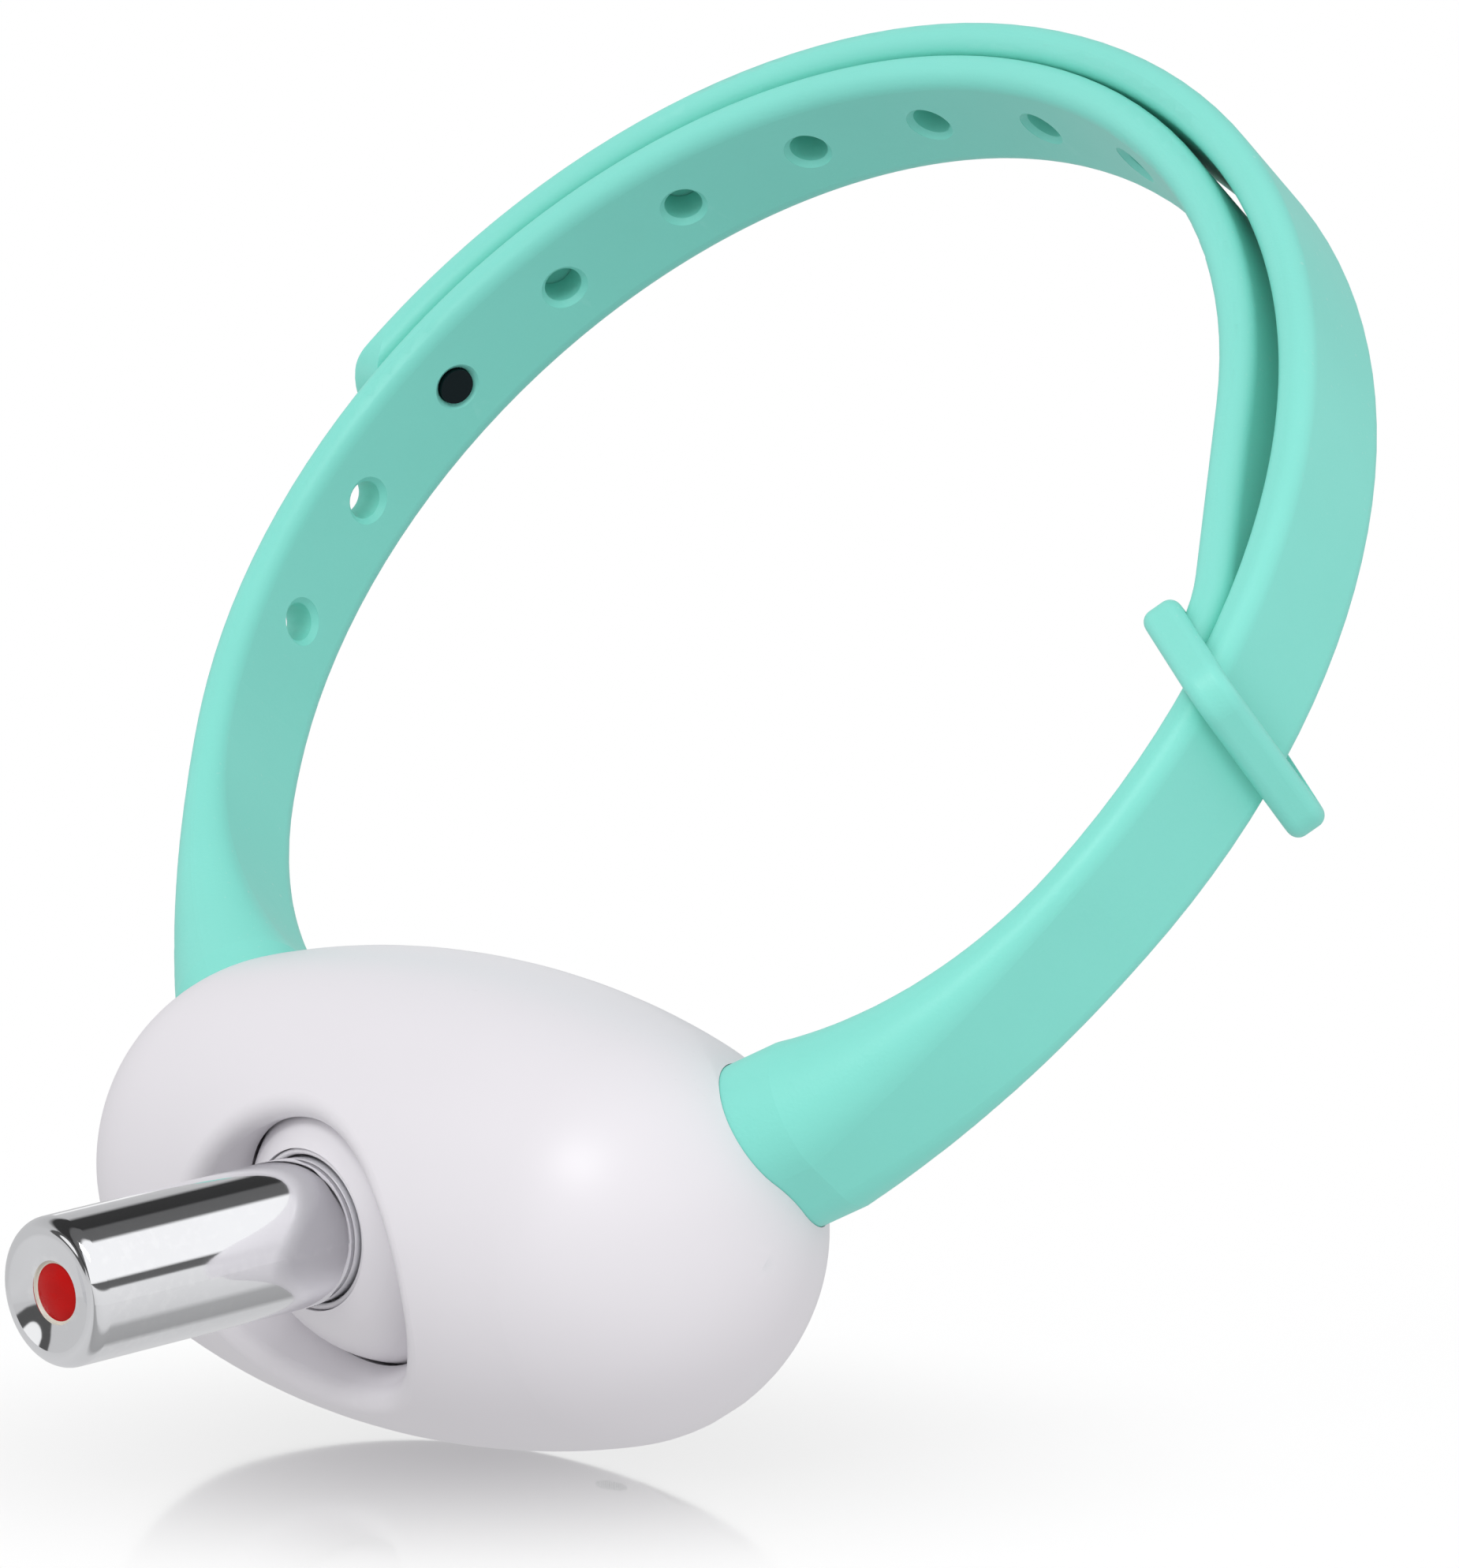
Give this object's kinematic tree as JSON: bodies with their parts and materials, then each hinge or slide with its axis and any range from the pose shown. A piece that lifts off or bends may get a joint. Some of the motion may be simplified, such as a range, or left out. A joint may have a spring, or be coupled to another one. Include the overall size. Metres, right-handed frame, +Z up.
{
  "type": "cat laser collar",
  "caption": "Silicone collar with an egg-shaped pod whose chrome laser barrel swivels in a ball socket to cast a red dot ahead of the cat; pierced strap, snap stud and loose keeper.",
  "frame": {"origin": "on the neck axis, straight above the middle of the pod", "axes": "+Y along the neck axis towards the back (the barrel points to -Y and down), +Z up from the pod to the top of the strap loop, +X along the pod towards the plain strap's side"},
  "size_m": [0.092, 0.0429, 0.1147],
  "materials": {
    "pod_shell": "smooth white moulded plastic with a soft sheen",
    "strap_rubber": "satin mint silicone rubber",
    "barrel_chrome": "bright mirror chrome",
    "ball_plastic": "smooth white moulded plastic like the pod",
    "seat_plastic": "natural slippery acetal",
    "lens_red": "clear deep red window",
    "lens_trim": "cream moulded ring",
    "module_brass": "turned brass",
    "steel": "plain machine screw steel",
    "board_green": "green solder mask",
    "board_black": "black moulded component body",
    "button_grey": "light grey satin plastic",
    "plug_rubber": "pale grey soft rubber",
    "stud_black": "near-black smooth plastic",
    "seal_rubber": "dark grey sealing rubber",
    "cell_foil": "matt foil pouch",
    "tape_foam": "off-white foam tape",
    "lead_red": "soft insulated wire",
    "window_clear": "clear moulded window",
    "lamp_white": "phosphor-filled lamp body"
  },
  "bodies": {
    "pod": {"front_shell": "pod_shell", "rear_cover": "pod_shell", "seam_gasket": "seal_rubber", "cover_screws": "steel", "ball_retainer": "ball_plastic", "retainer_screws": "steel", "circuit_board": "board_green", "usb_port": "steel", "power_switch": "board_black", "control_chip": "board_black", "charge_led": "lamp_white", "led_window": "window_clear", "battery_cell": "cell_foil", "battery_tape": "tape_foam", "battery_leads": "lead_red", "perforated_strap": "strap_rubber", "plain_strap": "strap_rubber"},
    "ball_seat": {"seat_ring": "seat_plastic"},
    "laser_head": {"swivel_ball": "ball_plastic", "laser_barrel": "barrel_chrome", "lens_ring": "lens_trim", "laser_lens": "lens_red", "laser_module": "module_brass", "laser_diode": "steel", "driver_board": "board_green"},
    "button": {"power_button": "button_grey", "switch_plunger": "board_black"},
    "plug": {"port_plug": "plug_rubber"},
    "keeper": {"strap_keeper": "strap_rubber"},
    "stud": {"closure_stud": "stud_black"}
  },
  "joints": [
    {"name": "head_swivel", "type": "hinge", "parent": "pod", "child": "ball_seat", "pos_m": [0, -0.0031, -0.0419], "axis": [0, -0.5446, -0.8387], "range_deg": [-170, 170]},
    {"name": "head_tilt", "type": "hinge", "parent": "ball_seat", "child": "laser_head", "pos_m": [0, -0.0031, -0.0419], "axis": [1, 0, 0], "range_deg": [-5.5, 34]},
    {"name": "button_press", "type": "slide", "parent": "pod", "child": "button", "axis": [0, -0.7431, -0.6691], "range_m": [0, 0.0004], "stiffness_N_per_m": 500, "springref_m": -0.0006},
    {"name": "port_plug_swing", "type": "hinge", "parent": "pod", "child": "plug", "pos_m": [0.01513, 0.0115, -0.04735], "axis": [-0.9925, 0.1219, 0], "range_deg": [0, 110]},
    {"name": "keeper_slide", "type": "hinge", "parent": "pod", "child": "keeper", "pos_m": [-0.0047, 0, 0.0028], "axis": [0, 1, 0], "range_deg": [0, 11]},
    {"name": "stud_pull", "type": "slide", "parent": "pod", "child": "stud", "axis": [-0.9419, 0, 0.3358], "range_m": [0, 0.007]}
  ]
}
